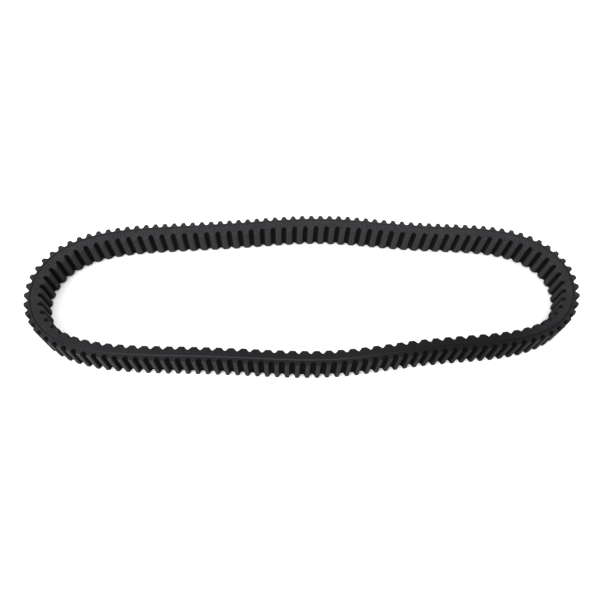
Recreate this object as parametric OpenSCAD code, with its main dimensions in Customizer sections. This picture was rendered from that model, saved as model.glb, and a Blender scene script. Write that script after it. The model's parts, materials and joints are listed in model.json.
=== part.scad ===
// Double-cog variable-speed drive belt, lying on one side of its V section.
// X runs along the loop, Y across it and Z up through the belt's width.
// Ten sections hinge on the cord line, so the closed belt can flex like the real one.

/* [Loop] */
// First harmonic of the loop's length, most of its half length
reach = 242.8; // [200:0.2:292]
// Second harmonic of the length, which shifts the bulk towards one end
lean = -9.4; // [-12:0.2:0]
// Third harmonic of the length, which carries both ends outwards
stretch = 19.5; // [15:0.5:24]
// Fourth harmonic of the length, which evens the two ends
level = 1.8; // [0:0.1:3]
// First harmonic of the loop's width, most of its half width
spread = 85.2; // [70:0.2:105]
// Second harmonic of the width, which makes one end fuller than the other
fullness = -2.4; // [-5:0.2:0]
// Third harmonic of the width, which squares the shoulders
shoulder = 13.4; // [10:0.2:16.5]
// Fifth harmonic of the width, which gives the long runs their belly
belly = 5.1; // [3:0.1:7]

/* [Belt section] */
// Width over the flat lands, where the belt is widest
belt_width = 32; // [26:0.5:40]
// Slope of each driving flank from the lands to the inner cogs, in degrees
flank_angle = 14; // [10:0.5:17]
// Height of the outer cog tips outside the cord line
outer_height = 6.2; // [5.8:0.1:8]
// Depth of the inner cog tips inside the cord line
inner_height = 9.7; // [8:0.1:12]
// Thickness of the tensile cord ply
cord_t = 1.2; // [0.8:0.1:1.8]
// Thickness of the adhesion gum on each side of the cord ply
gum_t = 0.5; // [0.3:0.1:0.8]
// Thickness of the woven facing on the inner cogs
facing_t = 0.5; // [0.3:0.1:0.8]

/* [Cogs] */
// Inner cogs in each span of the moulded pattern
inner_per_span = 5; // [4:1:6]
// Outer cogs in each span of the moulded pattern
outer_per_span = 6; // [5:1:7]
// Depth of the inner grooves
inner_groove = 3.3; // [2.5:0.1:4.5]
// Width of an inner groove at its mouth
inner_mouth = 6.8; // [5.5:0.1:8.4]
// Depth of the outer grooves
outer_groove = 4; // [3:0.1:4.6]
// Width of an outer groove at its mouth
outer_mouth = 6.8; // [5:0.1:7.4]

/* [Flexing joints] */
// Half of the gap between two sections at the cord line
joint_gap = 0.15; // [0.1:0.01:0.3]
// Growth of that half gap for each millimetre away from the cord line
joint_flare = 0.1; // [0.09:0.005:0.13]

/* [Hidden] */
SPANS = 21;        // repeats of the moulded cog pattern round the loop
END_SPANS = 3;     // spans in the section round the full end
RUN_SPANS = 2;     // spans in every other section
STEPS = 1440;      // samples of the cord line's curve
BAND_STEPS = 10;   // points in each span along a smooth ply
GROOVE_STEPS = 4;  // points from a groove's middle to its mouth
FLANK_STEPS = 8;   // rings in each span along the flanks
FLANK_PHASE = 0.37;   // keeps the rings away from the cog outline's points
FLANK_MARGIN = 1;     // how far the flank solid runs past the plies
INNER_ROUND = [1.5, 1.1];  // flatness of the inner grooves' floor, softness of their lips
OUTER_ROUND = [3.5, 1.9];  // the same for the outer grooves
FACING_DRAFT = 1.4;   // extra width of a groove under the facing, in facing thicknesses
SLOPE = tan(flank_angle);
land_edge = cord_t / 2 + gum_t;  // the lands end here and the flanks start

// The cord line is a short cosine series by a short sine series, so the loop always closes.
function raw(t) = [
    reach * cos(t) + lean * cos(2 * t) + stretch * cos(3 * t) + level * cos(4 * t),
    spread * sin(t) + fullness * sin(2 * t) + shoulder * sin(3 * t) + belly * sin(5 * t)
];
function tangent(t) = [
    -reach * sin(t) - 2 * lean * sin(2 * t) - 3 * stretch * sin(3 * t) - 4 * level * sin(4 * t),
    spread * cos(t) + 2 * fullness * cos(2 * t) + 3 * shoulder * cos(3 * t) + 5 * belly * cos(5 * t)
];

// Distance along the cord line from the full end (t = 180), paired with t for lookup().
function turn(i) = 180 + 360 * i / STEPS;
function chord(i) = norm(raw(turn(i + 1)) - raw(turn(i)));
distances = [for (i = 0, d = 0; i <= STEPS; d = d + chord(i), i = i + 1) d];
cord_length = distances[STEPS];
span = cord_length / SPANS;
turns = [for (i = [0:STEPS]) [distances[i], turn(i)]];
function wrap(s) = s < 0 ? s + cord_length : s > cord_length ? s - cord_length : s;

// The point at distance s along the cord line and n outside it.
function place(s, n) =
    let (t = lookup(wrap(s), turns), d = tangent(t) / norm(tangent(t)))
    raw(t) + n * [d[1], -d[0]];

// Section k of 1 to 10 runs from first(k) to last(k), counted anticlockwise from the full end.
function last(k) = (END_SPANS / 2 + RUN_SPANS * (k - 1)) * span;
function first(k) = k == 1 ? -last(1) : last(k - 1);
function gap(n) = joint_gap + joint_flare * abs(n);

// Share of a groove's depth: 1 over its middle, 0 at its mouth, with rounded lips.
function sink(share, round) = pow(1 - pow(abs(share), round[0]), round[1]);
shares = [for (i = [-GROOVE_STEPS:GROOVE_STEPS]) sin(90 * i / GROOVE_STEPS)];

// Outline of a row of cogs as [s, n] pairs, starting and ending in the middle of a groove.
function cog_row(k, sense, per_span, tip, depth, mouth, round) =
    let (
        pitch = span / per_span,
        count = (last(k) - first(k)) / pitch,
        floor_n = sense * (tip - depth),
        start = first(k) + gap(floor_n),
        end = last(k) - gap(floor_n),
        between = [
            for (j = [0:1:count + 0.5], share = shares)
            let (s = first(k) + j * pitch + share * mouth / 2)
            if (s > start + joint_gap && s < end - joint_gap)
            [s, sense * (tip - depth * sink(share, round))]
        ]
    )
    concat([[start, floor_n]], between, [[end, floor_n]]);

function outer_row(k) =
    cog_row(k, 1, outer_per_span, outer_height, outer_groove, outer_mouth, OUTER_ROUND);
function inner_row(k, inset) =
    let (mouth = inner_mouth + FACING_DRAFT * inset)
    cog_row(k, -1, inner_per_span, inner_height - inset, inner_groove, mouth, INNER_ROUND);

// A line at a constant n, from joint to joint.
function smooth_row(k, n) =
    let (
        start = first(k) + gap(n),
        end = last(k) - gap(n),
        steps = round((last(k) - first(k)) / span) * BAND_STEPS
    )
    [for (j = [0:steps]) [start + (end - start) * j / steps, n]];

// The loop is centred on the box of its outer cogs.
tip_x = [for (k = [1:10], p = outer_row(k)) place(p[0], p[1])[0]];
middle = [(max(tip_x) + min(tip_x)) / 2, 0];

function reversed(list) = [for (i = [len(list) - 1:-1:0]) list[i]];
function laid(row) = [for (p = row) place(p[0], p[1]) - middle];

// A ply between two rows, as tall as the lands are apart.
module ply(from_row, to_row) {
    linear_extrude(height = belt_width)
        polygon(concat(laid(from_row), reversed(laid(to_row))));
}

// Corners of the V section at s: inner low, outer low, outer high, inner high.
function flank_ring(s) =
    let (
        low_n = -inner_height - FLANK_MARGIN,
        inner_p = place(s, low_n) - middle,
        outer_p = place(s, FLANK_MARGIN) - middle,
        inner_z = belt_width / 2 + SLOPE * (low_n + land_edge),
        outer_z = belt_width / 2 + SLOPE * (FLANK_MARGIN + land_edge)
    )
    [
        [inner_p[0], inner_p[1], belt_width / 2 - inner_z],
        [outer_p[0], outer_p[1], belt_width / 2 - outer_z],
        [outer_p[0], outer_p[1], belt_width / 2 + outer_z],
        [inner_p[0], inner_p[1], belt_width / 2 + inner_z]
    ];

// Solid between the two driving flanks of section k, one ring longer at each end.
module flank_solid(k) {
    rings = round((last(k) - first(k)) / span) * FLANK_STEPS;
    step = (last(k) - first(k)) / rings;
    points = [for (i = [-1:rings], p = flank_ring(first(k) + (i + FLANK_PHASE) * step)) p];
    cap = 4 * (rings + 1);
    sides = [
        for (i = [0:rings], c = [0:3])
        let (a = 4 * i + c, b = 4 * i + (c + 1) % 4)
        each [[a, b, a + 4], [b, b + 4, a + 4]]
    ];
    ends = [[2, 1, 0], [3, 2, 0], [cap, cap + 1, cap + 2], [cap, cap + 2, cap + 3]];
    polyhedron(points = points, faces = concat(sides, ends));
}

// Woven facing that follows the inner cogs and is trimmed by the driving flanks.
module inner_facing(k) {
    color([0.16, 0.16, 0.17])
        intersection() {
            ply(inner_row(k, 0), inner_row(k, facing_t));
            flank_solid(k);
        }
}

// Inner cog rubber, from the facing up to the cord layers.
module inner_cogs(k) {
    color([0.22, 0.22, 0.23])
        intersection() {
            ply(inner_row(k, facing_t), smooth_row(k, -land_edge));
            flank_solid(k);
        }
}

// Adhesion gum that bonds the cord ply on its inner and outer faces.
module adhesion_gum(k) {
    color([0.1, 0.1, 0.11]) {
        ply(smooth_row(k, -land_edge), smooth_row(k, -cord_t / 2));
        ply(smooth_row(k, cord_t / 2), smooth_row(k, land_edge));
    }
}

// Tensile cord ply that carries the belt's pull.
module tensile_cord(k) {
    color([0.62, 0.55, 0.38])
        ply(smooth_row(k, -cord_t / 2), smooth_row(k, cord_t / 2));
}

// Outer cog rubber over the cord layers.
module outer_cogs(k) {
    color([0.24, 0.24, 0.25])
        ply(smooth_row(k, land_edge), outer_row(k));
}

inner_facing(1);  // inner_facing_01
inner_facing(2);  // inner_facing_02
inner_facing(3);  // inner_facing_03
inner_facing(4);  // inner_facing_04
inner_facing(5);  // inner_facing_05
inner_facing(6);  // inner_facing_06
inner_facing(7);  // inner_facing_07
inner_facing(8);  // inner_facing_08
inner_facing(9);  // inner_facing_09
inner_facing(10);  // inner_facing_10
inner_cogs(1);  // inner_cogs_01
inner_cogs(2);  // inner_cogs_02
inner_cogs(3);  // inner_cogs_03
inner_cogs(4);  // inner_cogs_04
inner_cogs(5);  // inner_cogs_05
inner_cogs(6);  // inner_cogs_06
inner_cogs(7);  // inner_cogs_07
inner_cogs(8);  // inner_cogs_08
inner_cogs(9);  // inner_cogs_09
inner_cogs(10);  // inner_cogs_10
adhesion_gum(1);  // adhesion_gum_01
adhesion_gum(2);  // adhesion_gum_02
adhesion_gum(3);  // adhesion_gum_03
adhesion_gum(4);  // adhesion_gum_04
adhesion_gum(5);  // adhesion_gum_05
adhesion_gum(6);  // adhesion_gum_06
adhesion_gum(7);  // adhesion_gum_07
adhesion_gum(8);  // adhesion_gum_08
adhesion_gum(9);  // adhesion_gum_09
adhesion_gum(10);  // adhesion_gum_10
tensile_cord(1);  // tensile_cord_01
tensile_cord(2);  // tensile_cord_02
tensile_cord(3);  // tensile_cord_03
tensile_cord(4);  // tensile_cord_04
tensile_cord(5);  // tensile_cord_05
tensile_cord(6);  // tensile_cord_06
tensile_cord(7);  // tensile_cord_07
tensile_cord(8);  // tensile_cord_08
tensile_cord(9);  // tensile_cord_09
tensile_cord(10);  // tensile_cord_10
outer_cogs(1);  // outer_cogs_01
outer_cogs(2);  // outer_cogs_02
outer_cogs(3);  // outer_cogs_03
outer_cogs(4);  // outer_cogs_04
outer_cogs(5);  // outer_cogs_05
outer_cogs(6);  // outer_cogs_06
outer_cogs(7);  // outer_cogs_07
outer_cogs(8);  // outer_cogs_08
outer_cogs(9);  // outer_cogs_09
outer_cogs(10);  // outer_cogs_10
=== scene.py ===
# A double-cogged drive belt lying on its side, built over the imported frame
import json
import math

import bpy
import numpy as np
from mathutils import Matrix, Vector


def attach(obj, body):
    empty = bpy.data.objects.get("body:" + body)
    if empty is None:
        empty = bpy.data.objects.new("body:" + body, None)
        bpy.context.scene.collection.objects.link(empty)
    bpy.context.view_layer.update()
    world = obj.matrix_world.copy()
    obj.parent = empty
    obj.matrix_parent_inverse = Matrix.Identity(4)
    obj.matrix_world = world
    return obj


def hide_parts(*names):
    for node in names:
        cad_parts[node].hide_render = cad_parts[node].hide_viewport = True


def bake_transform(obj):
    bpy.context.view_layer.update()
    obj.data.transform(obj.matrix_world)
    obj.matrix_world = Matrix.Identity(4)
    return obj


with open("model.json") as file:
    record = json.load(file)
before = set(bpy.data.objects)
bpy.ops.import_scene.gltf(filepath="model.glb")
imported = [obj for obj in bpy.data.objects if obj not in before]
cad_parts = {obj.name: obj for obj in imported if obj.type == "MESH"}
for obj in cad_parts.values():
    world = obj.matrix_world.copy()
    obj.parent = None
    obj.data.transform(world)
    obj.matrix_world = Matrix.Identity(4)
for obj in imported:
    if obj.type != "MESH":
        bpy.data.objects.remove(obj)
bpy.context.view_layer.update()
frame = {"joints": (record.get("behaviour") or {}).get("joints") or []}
mm = 0.001

# the cord line is the closed curve that every ply follows
loopShape = {
    "reach": 242.8 * mm, "lean": -9.4 * mm, "stretch": 19.5 * mm, "level": 1.8 * mm,
    "spread": 85.2 * mm, "fullness": -2.4 * mm, "shoulder": 13.4 * mm, "belly": 5.1 * mm,
    "samples": 14400,  # short steps that measure its length
    "spans": 21,  # repeats of the moulded pattern
    "endSpans": 3,  # spans in the section round the full end
    "runSpans": 2,  # spans in the others
    "sections": 10,
    "seam": 7,  # the hinge that is left open
}
belt = {
    "width": 32 * mm,
    "flankSlope": math.tan(math.radians(14)),
    "landEdge": 1.1 * mm,  # the flank starts this far inside the cord line
    "cordHalf": 0.6 * mm,  # and the cogs' rubber starts this far from it on both sides
    "sideRecess": 0.35 * mm,  # the outer cogs' sides stand back from the lands
    "recessFrom": 0.6 * mm, "recessTo": 0.95 * mm,
    "sideWave": 0.05 * mm,  # how far a cut side wanders
    "sideTurns": [13, 29, 47, 83, 131, 197],  # how often each of its waves turns in one lap
    "rowGap": 0.02 * mm,  # no row of points is nearer than this to a piece's end
}


def loopPoint(t):
    # cosines of 1, 2, 3 and 4 times t along the loop, and sines of 1, 2, 3 and 5 times t across it
    c = loopShape
    x = c["reach"] * np.cos(t) + c["lean"] * np.cos(2 * t)
    x = x + c["stretch"] * np.cos(3 * t) + c["level"] * np.cos(4 * t)
    y = c["spread"] * np.sin(t) + c["fullness"] * np.sin(2 * t)
    y = y + c["shoulder"] * np.sin(3 * t) + c["belly"] * np.sin(5 * t)
    return np.stack([x, y], axis=-1)


def loopTangent(t):
    # the same cosines and sines, differentiated and made unit length
    c = loopShape
    x = -c["reach"] * np.sin(t) - 2 * c["lean"] * np.sin(2 * t)
    x = x - 3 * c["stretch"] * np.sin(3 * t) - 4 * c["level"] * np.sin(4 * t)
    y = c["spread"] * np.cos(t) + 2 * c["fullness"] * np.cos(2 * t)
    y = y + 3 * c["shoulder"] * np.cos(3 * t) + 5 * c["belly"] * np.cos(5 * t)
    d = np.stack([x, y], axis=-1)
    return d / np.linalg.norm(d, axis=-1, keepdims=True)


# one lap, counter-clockwise from the full end, with the distance gone at every step
turnAt = math.pi + 2 * math.pi * np.arange(loopShape["samples"] + 1) / loopShape["samples"]
stepLengths = np.linalg.norm(np.diff(loopPoint(turnAt), axis=0), axis=1)
distanceAt = np.concatenate([[0], np.cumsum(stepLengths)])
cordLength = distanceAt[-1]
span = cordLength / loopShape["spans"]


def hingeDistance(k):
    # half the end section, then k - 1 whole sections
    return (loopShape["endSpans"] / 2 + loopShape["runSpans"] * (k - 1)) * span


def middleDistance(k):
    # the middle of section k, where one piece ends and the next starts: half a section back from hinge k
    return 0 if k == 1 else hingeDistance(k) - loopShape["runSpans"] / 2 * span


def centreOfLoop():
    # where the curve has the first hinge, less where the frame has it
    first = next(j for j in frame["joints"] if j["name"] == "flex_01")
    t = np.interp(hingeDistance(1), distanceAt, turnAt)
    return loopPoint(t) - np.array(first["pos_m"][:2])


loopCentre = centreOfLoop()


def placeOnLoop(s, n, z):
    # walk s along the cord line, step n outwards square to it, rise z from the middle of the belt's width
    t = np.interp(np.mod(s, cordLength), distanceAt, turnAt)
    d = loopTangent(t)
    p = loopPoint(t) - loopCentre
    x = p[..., 0] + n * d[..., 1]
    y = p[..., 1] - n * d[..., 0]
    return np.stack([x, y, z + belt["width"] / 2 + 0 * n], axis=-1)


def smoothRise(t):
    # 0 below t = 0, 1 above t = 1, and between them three times its square less twice its cube
    t = np.clip(t, 0, 1)
    return t * t * (3 - 2 * t)


def sideShift(s, seed):
    # the mean of a few sines of s, as a blade leaves on a cut side
    turns = belt["sideTurns"]
    phases = np.random.default_rng(seed).uniform(0, 2 * math.pi, len(turns))
    waves = sum(np.sin(turn * 2 * math.pi / cordLength * s + phase) for turn, phase in zip(turns, phases))
    return belt["sideWave"] * waves / len(turns)


def halfWidth(n):
    # flat lands, then the driving flank's slope, and a slight step down to the outer cogs
    slope = np.clip(-n - belt["landEdge"], 0, None) * belt["flankSlope"]
    step = smoothRise((n - belt["recessFrom"]) / (belt["recessTo"] - belt["recessFrom"]))
    return belt["width"] / 2 - slope - belt["sideRecess"] * step


print("loop is", round(cordLength / mm, 1), "mm round the cord line")


def ringMesh(name, points, material, values):
    # rows of closed rings joined by quads, with one flat cap at each end, and a value at each point
    rows, cols = points.shape[:2]
    i, j = np.meshgrid(np.arange(rows - 1), np.arange(cols), indexing="ij")
    a = i * cols + j
    b = i * cols + (j + 1) % cols
    quads = np.stack([a, b, b + cols, a + cols], axis=-1).reshape(-1, 4)
    startCap, endCap = np.arange(cols)[::-1], (rows - 1) * cols + np.arange(cols)
    # each half of a quad is a wedge with the origin, and the wedges sum below 0 if the faces point inwards
    flat = points.reshape(-1, 3)
    p, q, r, u = (flat[quads[:, c]] for c in range(4))
    volume = (np.einsum("ij,ij->i", p, np.cross(q, r)) + np.einsum("ij,ij->i", p, np.cross(r, u))).sum()
    if volume < 0:
        quads, startCap, endCap = quads[:, ::-1], startCap[::-1], endCap[::-1]
    faces = quads.tolist() + [startCap.tolist(), endCap.tolist()]
    mesh = bpy.data.meshes.new(name)
    mesh.from_pydata(flat.tolist(), [], faces)
    smooth = np.ones(len(faces), bool)
    smooth[-2:] = False
    mesh.polygons.foreach_set("use_smooth", smooth)
    for key, value in values.items():
        layer = mesh.attributes.new(key, "FLOAT", "POINT")
        layer.data.foreach_set("value", np.broadcast_to(value, (rows, cols)).astype(np.float32).ravel())
    mesh.materials.append(material)
    mesh.update()
    obj = bpy.data.objects.new(name, mesh)
    bpy.context.scene.collection.objects.link(obj)
    return obj


class Val:
    # one value in a node tree; Python's operators on it add Math nodes
    def __init__(self, tree, socket):
        self.tree = tree
        self.socket = socket

    def calc(self, operation, *values):
        return self.tree.add("Math", {"operation": operation}, dict(enumerate(values)))

    def __add__(self, other):
        return self.calc("ADD", self, other)

    def __radd__(self, other):
        return self.calc("ADD", other, self)

    def __sub__(self, other):
        return self.calc("SUBTRACT", self, other)

    def __rsub__(self, other):
        return self.calc("SUBTRACT", other, self)

    def __mul__(self, other):
        return self.calc("MULTIPLY", self, other)

    def __rmul__(self, other):
        return self.calc("MULTIPLY", other, self)

    def sine(self):
        return self.calc("SINE", self)

    def halved(self):
        # -1 to 1 becomes 0 to 1
        return self * 0.5 + 0.5

    def clipped(self):
        # no less than 0 and no more than 1
        return self.calc("MINIMUM", self.calc("MAXIMUM", self, 0.0), 1.0)

    def step(self, low, high):
        # smooth rise from 0 at low to 1 at high
        limits = {"Value": self, "From Min": low, "From Max": high}
        return self.tree.add("MapRange", {"interpolation_type": "SMOOTHSTEP"}, limits)


class Paint:
    # a material under construction
    def __init__(self, name):
        self.material = bpy.data.materials.new(name)
        self.material.use_nodes = True
        self.nodes = self.material.node_tree.nodes
        self.links = self.material.node_tree.links

    def add(self, kind, settings=None, inputs=None, output=0):
        # one node: its settings first, then a value or a link for each socket
        node = self.nodes.new("ShaderNode" + kind)
        for key, value in (settings or {}).items():
            setattr(node, key, value)
        for key, value in (inputs or {}).items():
            self.feed(node.inputs[key], value)
        return Val(self, node.outputs[output])

    def feed(self, socket, value):
        # a Val is linked, anything else is set
        if isinstance(value, Val):
            self.links.new(value.socket, socket)
        else:
            socket.default_value = value

    def mix(self, factor, a, b):
        # colours only; sockets 6 and 7 and output 2 are the Mix node's colour ones
        a, b = (value if isinstance(value, Val) else (*value, 1) for value in (a, b))
        return self.add("Mix", {"data_type": "RGBA"}, {0: factor, 6: a, 7: b}, output=2)

    def objectPoint(self, stretch=(1, 1, 1)):
        # a point in the piece's own frame, each axis times its stretch
        point = self.add("TexCoord", output="Object")
        return self.add("Mapping", inputs={"Vector": point, "Scale": stretch})

    def noise(self, point, scale, detail, roughness=0.55):
        # scale is features to the metre, detail is octaves
        sockets = {"Vector": point, "Scale": scale, "Detail": detail, "Roughness": roughness}
        return self.add("TexNoise", inputs=sockets)

    def attribute(self, name):
        # a number that the mesh keeps at every point
        return self.add("Attribute", {"attribute_name": name}, output="Fac")

    def bump(self, height, distance, strength, under=None):
        # the surface rises by height times distance, on top of the bump under it
        sockets = {"Height": height, "Distance": distance, "Strength": strength}
        if under is not None:
            sockets["Normal"] = under
        return self.add("Bump", inputs=sockets)

    def finish(self, **sockets):
        # the shader's own sockets, by name with _ for each space
        shader = self.nodes["Principled BSDF"]
        for key, value in sockets.items():
            self.feed(shader.inputs[key.replace("_", " ")], value)
        return self.material


noiseMean = 0.5  # what a noise averages
cogRubber = {
    "dark": (0.0125, 0.0128, 0.014), "mid": (0.0262, 0.0267, 0.0289), "pale": (0.068, 0.069, 0.072),
    # the groove colour is painted shade with some dirt, deep in the grooves; the last colour is the darker
    # tone along stretches of the loop
    "groove": (0.0008, 0.0008, 0.0009), "dimmed": (0.0052, 0.0053, 0.0058),
    # noises: features to the metre, octaves and roughness
    "mottle": (620.0, 5.0, 0.7), "broad": (60.0, 3.0), "speckle": (1500.0, 2.0),
    "grain": (3600.0, 2.0), "fibre": (2600.0, 2.0), "fibreStretch": (1, 1, 0.22),
    # where three of them turn from dark to light, and their shares of the tone
    "mottleTurn": (0.34, 0.68), "broadTurn": (0.35, 0.65), "speckleTurn": (0.36, 0.64),
    "mottleShare": 0.4, "broadShare": 0.25, "speckleShare": 0.35,
    "fleckTurn": (0.63, 0.74), "fleckPatches": (0.4, 0.6), "flecks": 0.35,
    "scuffMottle": 0.9, "scuffGrain": 0.6, "scuffLoss": 0.1,
    # edges scuff less where the colour is darkened along the loop
    "scuffWithTone": 1.3, "scuffAtDimmest": 0.25,
    # first the share of painted shade and dirt deep in a groove, then roughness, its changes and the
    # specular level
    "shadeAndDirtShare": 0.98, "roughness": 0.74, "roughMottle": 0.25, "roughDirt": 0.12, "specular": 0.045,
    "grainShare": 0.6, "fineBump": (0.05 * mm, 0.8), "coarseBump": (0.14 * mm, 0.6),
}


def makeCogRubber(name, c):
    # stepped noises go from dark to mid; over that lie pale flecks, darker stretches of the loop, scuffed
    # edges, and painted shade with some dirt in the grooves
    p = Paint(name)
    point = p.objectPoint()
    alongFibre = p.objectPoint(c["fibreStretch"])
    broad = p.noise(point, *c["broad"])
    mottle = p.noise(point, *c["mottle"])
    speckle = p.noise(point, *c["speckle"])
    grain = p.noise(point, *c["grain"])
    fibre = p.noise(alongFibre, *c["fibre"])
    wear, groove, loopTone = (p.attribute(key) for key in ("edgeWear", "grooveShadeAndDirt", "loopTone"))
    tone = mottle.step(*c["mottleTurn"]) * c["mottleShare"]
    tone = tone + broad.step(*c["broadTurn"]) * c["broadShare"]
    tone = tone + speckle.step(*c["speckleTurn"]) * c["speckleShare"]
    base = p.mix(tone.clipped(), c["dark"], c["mid"])
    flecks = fibre.step(*c["fleckTurn"]) * mottle.step(*c["fleckPatches"]) * c["flecks"]
    base = p.mix(flecks, base, c["pale"])
    # the colour darkens over stretches of the loop, most towards the right end of the near run, and edges
    # scuff less there
    base = p.mix(loopTone, c["dimmed"], base)
    patchy = mottle * c["scuffMottle"] + grain * c["scuffGrain"] - c["scuffLoss"]
    scuff = (wear * patchy * (loopTone * c["scuffWithTone"] + c["scuffAtDimmest"])).clipped()
    base = p.mix(scuff, base, c["pale"])
    # grooves go near black: painted shade of their hollows, with some dirt
    base = p.mix(groove * c["shadeAndDirtShare"], base, c["groove"])
    rough = c["roughness"] + (mottle - noiseMean) * c["roughMottle"] + groove * c["roughDirt"]
    fine = p.bump(grain * c["grainShare"] + fibre * (1 - c["grainShare"]), *c["fineBump"])
    coarse = p.bump(mottle, *c["coarseBump"], under=fine)
    return p.finish(
        Base_Color=base, Roughness=rough.clipped(), Normal=coarse, Specular_IOR_Level=c["specular"])


cogFacing = {
    "thread": (0.033, 0.0338, 0.036), "gap": (0.013, 0.0133, 0.0145), "pale": (0.06, 0.061, 0.064),
    # the slot colour is painted shade with some dirt in the slots; the last colour is the darker tone along
    # stretches of the loop
    "slot": (0.0016, 0.0016, 0.0018), "dimmed": (0.005, 0.005, 0.0055),
    "threadPitch": 0.62 * mm, "mottle": (480.0, 4.0, 0.6),  # a noise, as on the cogs
    # the last value is the share of painted shade and dirt in a slot
    "scuffMottle": 1.4, "scuffLoss": 0.35, "shadeAndDirtShare": 0.95,
    "roughness": 0.8, "roughMottle": 0.2, "specular": 0.045,
    "weaveBump": (0.07 * mm, 0.9), "mottleBump": (0.1 * mm, 0.4),
}


def makeFacing(name, c):
    # a plain weave: sines along and across the belt, and a slower pair says which thread is on top
    p = Paint(name)
    along, across = p.attribute("beltAlong"), p.attribute("beltAcross")
    mottle = p.noise(p.objectPoint(), *c["mottle"])
    turns = 2 * math.pi / c["threadPitch"]
    warp = (along * turns).sine().halved()
    weft = (across * turns).sine().halved()
    over = ((along * (turns / 2)).sine() * (across * (turns / 2)).sine()).halved()
    weave = warp * over + weft * (1 - over)
    groove, wear = p.attribute("grooveShadeAndDirt"), p.attribute("edgeWear")
    base = p.mix((weave * (noiseMean + mottle)).clipped(), c["gap"], c["thread"])
    scuff = (wear * (mottle * c["scuffMottle"] - c["scuffLoss"])).clipped()
    base = p.mix(scuff, base, c["pale"])
    # the colour darkens over the same stretches of the loop as on the cogs
    base = p.mix(p.attribute("loopTone"), c["dimmed"], base)
    # slots go near black: painted shade of their hollows, with some dirt
    base = p.mix(groove * c["shadeAndDirtShare"], base, c["slot"])
    rough = c["roughness"] + (mottle - noiseMean) * c["roughMottle"]
    normal = p.bump(weave, *c["weaveBump"], under=p.bump(mottle, *c["mottleBump"]))
    return p.finish(
        Base_Color=base, Roughness=rough, Normal=normal, Specular_IOR_Level=c["specular"])


cordFibre = {
    # the darkest colour is painted shade laid over the cord line where it faces away from the light
    "fibre": (0.05, 0.051, 0.053), "gum": (0.01, 0.01, 0.0108), "cordPaintedShade": (0.005, 0.0051, 0.0056),
    "fuzz": (2600.0, 3.0), "twistPitch": 1.1 * mm,  # a noise, as on the cogs, and one twist's length
    "slant": 4500.0, "wander": 3.0,  # radians to the metre across, and how far the fuzz bends a stroke
    "twistShow": 0.5, "fuzzShow": 0.6,
    "roughness": 0.75, "roughFuzz": 0.2, "specular": 0.045, "strokeBump": (0.08 * mm, 0.8),
}


def makeCord(name, c):
    # cut cord ends are slanted strokes, a sine of the way along and across, between two dark gum lines
    p = Paint(name)
    along, across = p.attribute("beltAlong"), p.attribute("beltAcross")
    fuzz = p.noise(p.objectPoint(), *c["fuzz"])
    turns = 2 * math.pi / c["twistPitch"]
    twist = (along * turns + across * c["slant"] + fuzz * c["wander"]).sine().halved()
    core = p.attribute("cordCore")
    strokes = (core * (twist * c["twistShow"] + fuzz * c["fuzzShow"])).clipped()
    base = p.mix(strokes, c["gum"], c["fibre"])
    # the cord line is painted lit along the near run, half lit on the far run and dark round the ends:
    # painted highlight and shade over the fibre strokes
    base = p.mix(p.attribute("cordPaintedLight"), c["cordPaintedShade"], base)
    rough = c["roughness"] + (fuzz - noiseMean) * c["roughFuzz"]
    normal = p.bump(twist * core, *c["strokeBump"])
    return p.finish(
        Base_Color=base, Roughness=rough, Normal=normal, Specular_IOR_Level=c["specular"])


outerRubber = makeCogRubber("outer cog rubber", cogRubber)
innerRubber = makeCogRubber("inner cog rubber", cogRubber)
facingCloth = makeFacing("woven facing", cogFacing)
cordMaterial = makeCord("tensile cord", cordFibre)
print("materials made")

# where the colour is darker along the loop: place and spread in spans, and how much it darkens
loopToneDips = [(8.3, 1.6, 0.56), (5.0, 4.4, 0.76)]
# shares of the way from a groove's middle to its lip: the worn band's middle and width, and where a
# groove's painted shade and dirt end
grooveMarks = {"wornAt": 0.97, "wornOver": 0.1, "shadeAndDirtTo": 0.96}


def loopToneAt(s):
    # 1 where the colour stays as it is, less a bell curve of the shorter way round to each dip
    lap = loopShape["spans"]
    places, spreads, drops = (np.array(column) for column in zip(*loopToneDips))
    away = np.mod(s[..., None] / span - places + lap / 2, lap) - lap / 2
    return 1 - (drops * np.exp(-((away / spreads) ** 2))).sum(axis=-1)


def cogRows(sFrom, sTo, cogs):
    # a column of distances: on a sine over each groove, so closest at its lips, and even over each tip
    pitch = span / cogs["perSpan"]
    overGroove = np.sin(np.linspace(-math.pi / 2, math.pi / 2, cogs["grooveRows"])) * cogs["mouth"] / 2
    overTip = np.linspace(cogs["mouth"] / 2, pitch - cogs["mouth"] / 2, cogs["tipRows"] + 2)[1:-1]
    numbers = np.arange(math.floor(sFrom / pitch) - 1, math.ceil(sTo / pitch) + 1)
    s = ((numbers + cogs["phase"])[:, None] * pitch + np.concatenate([overGroove, overTip])).ravel()
    s = s[(s > sFrom + belt["rowGap"]) & (s < sTo - belt["rowGap"])]
    return np.concatenate([[sFrom], s, [sTo]])[:, None]


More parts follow.
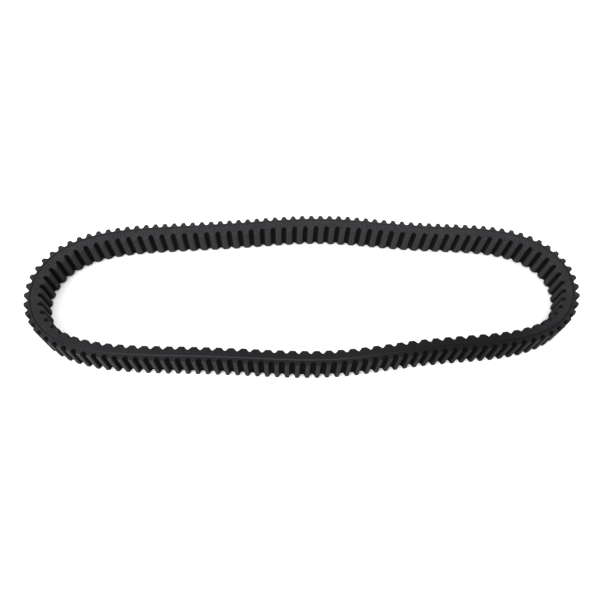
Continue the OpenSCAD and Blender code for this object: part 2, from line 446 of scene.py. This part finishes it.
def cogProfile(s, cogs):
    # height is less in a groove by depth times (1 - share to the flatness) to the softness; tips are uneven
    # with it come 1 inside a groove, fading at its lips, and a bell curve over each lip
    pitch = span / cogs["perSpan"]
    count = cogs["perSpan"] * loopShape["spans"]
    turn = s / pitch - cogs["phase"]
    share = np.abs(turn - np.round(turn)) * pitch / (cogs["mouth"] / 2)
    sink = (1 - np.clip(share, 0, 1) ** cogs["flatness"]) ** cogs["softness"]
    cogIndex = np.mod(np.floor(turn).astype(int), count)
    uneven = np.random.default_rng(cogs["seed"]).normal(0, cogs["uneven"], count)[cogIndex]
    height = cogs["height"] - cogs["depth"] * sink + uneven * (1 - sink) ** 2
    inGroove = smoothRise((grooveMarks["shadeAndDirtTo"] - share) / cogs["lipFade"])
    lip = np.exp(-(((share - grooveMarks["wornAt"]) / grooveMarks["wornOver"]) ** 2))
    return height, inGroove, lip


def ringSteps(cogs):
    # shares of the way up a side, angles round a corner, and shares of the way across the visible face
    side = np.linspace(0, 1, cogs["sideSteps"]) ** cogs["sideCrowding"]
    arc = np.linspace(0, math.pi / 2, cogs["arcSteps"] + 1)[1:]
    across = np.linspace(0, 1, cogs["acrossSteps"] + 1)[1:-1]
    return side, arc, across


def sectionRing(low, high, edge, cogs):
    # n and z round one ply's section: up one side, round the corner, across the face, and back
    # low and high are n at the hidden and the visible face; the visible one has corners of radius edge
    side, arc, across = ringSteps(cogs)
    rise = np.sign(high - low) * edge
    sideN = low + (high - rise - low) * side
    cornerN = high - rise + rise * np.sin(arc)
    sideZ = halfWidth(sideN)
    cornerZ = halfWidth(cornerN) - edge * (1 - np.cos(arc))
    faceZ = cornerZ[:, -1:] * (1 - 2 * across)
    faceN = high + 0 * faceZ
    n = np.concatenate([sideN, cornerN, faceN, cornerN[:, ::-1], sideN[:, ::-1]], axis=1)
    z = np.concatenate([sideZ, cornerZ, faceZ, -cornerZ[:, ::-1], -sideZ[:, ::-1]], axis=1)
    return n, z


def ringMasks(cogs):
    # round the same ring: 1 on the face with a sine down each corner, and a bump of sine on each corner
    side, arc, across = ringSteps(cogs)
    onFace = np.concatenate([0 * side, np.sin(arc), 1 + 0 * across, np.sin(arc)[::-1], 0 * side])
    onCorner = np.concatenate([0 * side, np.sin(2 * arc), 0 * across, np.sin(2 * arc)[::-1], 0 * side])
    return onFace, onCorner


def shareOfWay(n, low, high):
    # 0 at low and 1 at high, in proportion between them
    return np.clip((n - low) / (high - low), 0, 1)


outerCogs = {
    "perSpan": 6, "phase": 0.0, "height": 6.2 * mm, "depth": 4.0 * mm, "mouth": 6.8 * mm,
    "flatness": 3.5, "softness": 1.9, "uneven": 0.05 * mm, "seed": 11,
    "edge": 0.5175 * mm, "edgeLoss": 0.225 * mm,  # corner radius on a tip, and what a groove takes off it
    "lipFade": 0.3, "shadeAndDirtFade": 8, "lipWear": 0.9, "wearFade": 6, "faceWear": 0.3,
    "grooveRows": 23, "tipRows": 4, "sideSteps": 5, "sideCrowding": 1.3, "arcSteps": 4, "acrossSteps": 7,
}


def outerPiece(k, sFrom, sTo):
    # the outline stands out from the cord line; its corners and lips are worn and its grooves carry painted
    # shade with some dirt
    c = outerCogs
    s = cogRows(sFrom, sTo, c)
    height, inGroove, lip = cogProfile(s, c)
    n, z = sectionRing(belt["cordHalf"], height, c["edge"] - c["edgeLoss"] * inGroove, c)
    points = placeOnLoop(s, n, z + sideShift(s, c["seed"]))
    onFace, onCorner = ringMasks(c)
    reach = shareOfWay(n, belt["cordHalf"], height)
    wear = np.maximum(onCorner * (1 - inGroove), c["lipWear"] * lip * reach ** c["wearFade"])
    wear = np.maximum(wear, c["faceWear"] * onFace * (1 - inGroove))
    # deepest in a groove the colour goes near black: painted shade with some dirt
    return ringMesh(f"outerCogs{k:02d}", points, outerRubber, {
        "edgeWear": wear, "grooveShadeAndDirt": inGroove * reach ** c["shadeAndDirtFade"], "loopTone": loopToneAt(s)})


innerCogs = {
    "perSpan": 5, "phase": 0.5, "height": 9.7 * mm, "depth": 3.3 * mm, "mouth": 6.8 * mm,
    "flatness": 1.5, "softness": 1.1, "uneven": 0.05 * mm, "seed": 12,
    "edge": 0.15 * mm, "lipFade": 0.4, "lipWear": 0.3, "wearFade": 6,
    "grooveRows": 27, "tipRows": 5, "sideSteps": 6, "sideCrowding": 1.3, "arcSteps": 4, "acrossSteps": 7,
}
facing = {
    "thickness": 0.42 * mm, "acrossSteps": 9,
    "roundOff": 0.12 * mm,  # the visible face is this much narrower on each side
    "lipWear": 0.4, "sideWear": 0.3, "sideFade": 12,
}


def underFacing(s, height):
    # the cogs' outline moved square to itself towards the cord line; its two end rows stay where they are
    ds, dh = np.gradient(s, axis=0), np.gradient(height, axis=0)
    length = np.hypot(ds, dh)
    under = s + facing["thickness"] * dh / length
    under[[0, -1]] = s[[0, -1]]
    return under, height - facing["thickness"] * ds / length


def innerPiece(k, sFrom, sTo):
    # the outline under the facing, joined to the cord line by rings that lean as the outline was moved
    c = innerCogs
    s = cogRows(sFrom, sTo, c)
    height, _, lip = cogProfile(s, c)
    under, depth = underFacing(s, height)
    n, z = sectionRing(-belt["cordHalf"], -depth, c["edge"], c)
    reach = shareOfWay(n, -belt["cordHalf"], -depth)
    points = placeOnLoop(s + (under - s) * reach, n, z + sideShift(s, c["seed"]))
    return ringMesh(f"innerCogs{k:02d}", points, innerRubber, {
        "edgeWear": c["lipWear"] * lip * reach ** c["wearFade"], "grooveShadeAndDirt": 0,
        "loopTone": loopToneAt(s)})


def facingPiece(k, sFrom, sTo):
    # a sheet between the cogs' outline and the outline under the facing, worn on its lips and at its sides
    s = cogRows(sFrom, sTo, innerCogs)
    height, inGroove, lip = cogProfile(s, innerCogs)
    under, depth = underFacing(s, height)
    across = np.linspace(1, -1, facing["acrossSteps"] + 1)
    visible = np.repeat([True, False], len(across))
    sides = np.concatenate([across, across[::-1]])
    n = -np.where(visible, height, depth)
    z = (halfWidth(n) - facing["roundOff"] * visible) * sides + sideShift(s, innerCogs["seed"])
    points = placeOnLoop(np.where(visible, s, under), n, z)
    sideWear = facing["sideWear"] * np.abs(sides) ** facing["sideFade"] * (1 - inGroove)
    # the slot mask carries painted shade with some dirt
    return ringMesh(f"cogFacing{k:02d}", points, facingCloth, {
        "edgeWear": np.maximum(facing["lipWear"] * lip, sideWear), "grooveShadeAndDirt": inGroove,
        "loopTone": loopToneAt(s), "beltAlong": s, "beltAcross": z})


cordBand = {
    "half": 0.62 * mm, "recess": 0.16 * mm, "steps": 7, "rowsPerSpan": 60, "core": 0.8,
    "crown": 0.75, "crownWidth": 0.45,  # the cut cord fills this much of the recess, over this share of it
    # place and reach in spans of each stretch where the cord line is painted lit, and how strongly;
    # elsewhere it stays painted shade
    "paintedLitStretches": [(4.0, 2.6, 1.0), (15.5, 4.2, 0.45)],
}


def cordPiece(k, sFrom, sTo):
    # a flat band whose cut sides stand in by the recess, less a bell curve over the cord
    c = cordBand
    rows = int(round((sTo - sFrom) / span * c["rowsPerSpan"]))
    s = np.linspace(sFrom, sTo, rows + 1)[:, None]
    share = np.linspace(-1, 1, c["steps"])
    n = c["half"] * np.concatenate([share, share[::-1]])
    hollow = c["recess"] * (1 - c["crown"] * np.exp(-((share / c["crownWidth"]) ** 2)))
    side = belt["width"] / 2 - hollow
    z = np.concatenate([side, -side[::-1]]) + sideShift(s, innerCogs["seed"])
    core = np.exp(-((n / c["half"] / c["core"]) ** 4))
    # painted light along the loop: full on the near run, under half on the far run, none round the ends,
    # which stay painted shade
    paintedLit = sum(much * np.exp(-(((s / span - at) / over) ** 4)) for at, over, much in c["paintedLitStretches"])
    return ringMesh(f"cordLine{k:02d}", placeOnLoop(s, n, z), cordMaterial, {
        "cordCore": core, "cordPaintedLight": paintedLit, "beltAlong": s, "beltAcross": n})


# for each ply: its maker, the CAD node that a piece stands for, any others with it, and its material slot
plies = [
    (outerPiece, "outer_cogs", [], "cog_rubber"),
    (innerPiece, "inner_cogs", [], "cog_rubber"),
    (facingPiece, "inner_facing", [], "facing_fabric"),
    (cordPiece, "tensile_cord", ["adhesion_gum"], "cord_fibre"),
]
seamRoom = 0.03 * mm  # kept free on both sides of the open seam, which shifts a little as the loop flexes


def tieToBodies(obj, k):
    # the piece over the open seam rides the section before it; every other piece is baked where it stands
    bodies = [f"section_{i:02d}" for i in (k, k % loopShape["sections"] + 1)]
    if k == loopShape["seam"]:
        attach(obj, bodies[0])
        return
    s = hingeDistance(k)
    hinge = placeOnLoop(s, 0.0, 0.0)
    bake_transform(obj)


for k in range(1, loopShape["sections"] + 1):
    sFrom = middleDistance(k)
    sTo = cordLength if k == loopShape["sections"] else middleDistance(k + 1)
    if k == loopShape["seam"]:
        sTo -= seamRoom
    if k == loopShape["seam"] + 1:
        sFrom += seamRoom
    for make, node, also, slotName in plies:
        piece = make(k, sFrom, sTo)
        tieToBodies(piece, k)
        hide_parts(*[f"{name}_{k:02d}" for name in [node, *also]])

floorSheet = {"size": 6.0, "tone": (0.86, 0.86, 0.86), "roughness": 0.9}


def makeFloor(c):
    # a square sheet at height 0
    h = c["size"] / 2
    mesh = bpy.data.meshes.new("floor")
    mesh.from_pydata([(-h, -h, 0), (h, -h, 0), (h, h, 0), (-h, h, 0)], [], [(0, 1, 2, 3)])
    p = Paint("pale floor")
    mesh.materials.append(p.finish(Base_Color=(*c["tone"], 1), Roughness=c["roughness"]))
    floor = bpy.data.objects.new("floor", mesh)
    bpy.context.scene.collection.objects.link(floor)


roomLight = {"tone": (1, 1, 1), "strength": 0.55}


def makeWorld(c):
    # even light of one tone from all round
    world = bpy.data.worlds.new("studio")
    world.use_nodes = True
    back = world.node_tree.nodes["Background"]
    back.inputs["Color"].default_value = (*c["tone"], 1)
    back.inputs["Strength"].default_value = c["strength"]
    bpy.context.scene.world = world


lamps = {  # place, size and watts
    "key": ((-1.0, -0.95, 1.0), 1.1, 36.0),
    "top": ((0.1, 0.0, 1.6), 1.6, 29.0),
    "rear": ((0.5, 1.2, 0.5), 1.0, 12.0),
}


def makeLamp(name, place, size, watts):
    # a square lamp that faces the origin
    data = bpy.data.lights.new(name, "AREA")
    data.size = size
    data.energy = watts
    lamp = bpy.data.objects.new(name, data)
    lamp.location = place
    lamp.rotation_euler = (-Vector(place)).to_track_quat("-Z", "Y").to_euler()
    bpy.context.scene.collection.objects.link(lamp)


viewpoint = {
    "elevation": 62.43, "distance": 540.2 * mm, "yaw": 4.353, "roll": -2.9,
    "sensor": 36.0, "lens": 32.8, "nearest": 10 * mm, "farthest": 50.0,
    "aimAlong": -12.74 * mm, "aimAcross": -8.4 * mm,
}


def makeCamera(c):
    # tilted by elevation, rolled about its own axis, turned by yaw about Z, and backed off from its aim
    elevation, yaw, roll = (math.radians(c[key]) for key in ("elevation", "yaw", "roll"))
    side = Vector((1, 0, 0))
    up = Vector((0, math.sin(elevation), math.cos(elevation)))
    back = Vector((0, -math.cos(elevation), math.sin(elevation)))
    right = side * math.cos(roll) - up * math.sin(roll)
    top = side * math.sin(roll) + up * math.cos(roll)
    turned = Matrix.Rotation(-yaw, 3, "Z")
    columns = [turned @ v for v in (right, top, back)]
    aim = turned @ Vector((c["aimAlong"], c["aimAcross"], 0))
    aim -= Vector((*loopCentre, 0))
    aim.z = belt["width"] / 2
    place = aim + columns[2] * c["distance"]
    data = bpy.data.cameras.new("camera")
    data.sensor_width = c["sensor"]
    data.lens = c["lens"]
    data.clip_start = c["nearest"]
    data.clip_end = c["farthest"]
    camera = bpy.data.objects.new("camera", data)
    bpy.context.scene.collection.objects.link(camera)
    camera.matrix_world = Matrix.Translation(place) @ Matrix(columns).transposed().to_4x4()
    bpy.context.scene.camera = camera


makeFloor(floorSheet)
makeWorld(roomLight)
for lampName, settings in lamps.items():
    makeLamp(lampName, *settings)
makeCamera(viewpoint)
bpy.context.scene.view_settings.view_transform = "Standard"
print("studio ready")
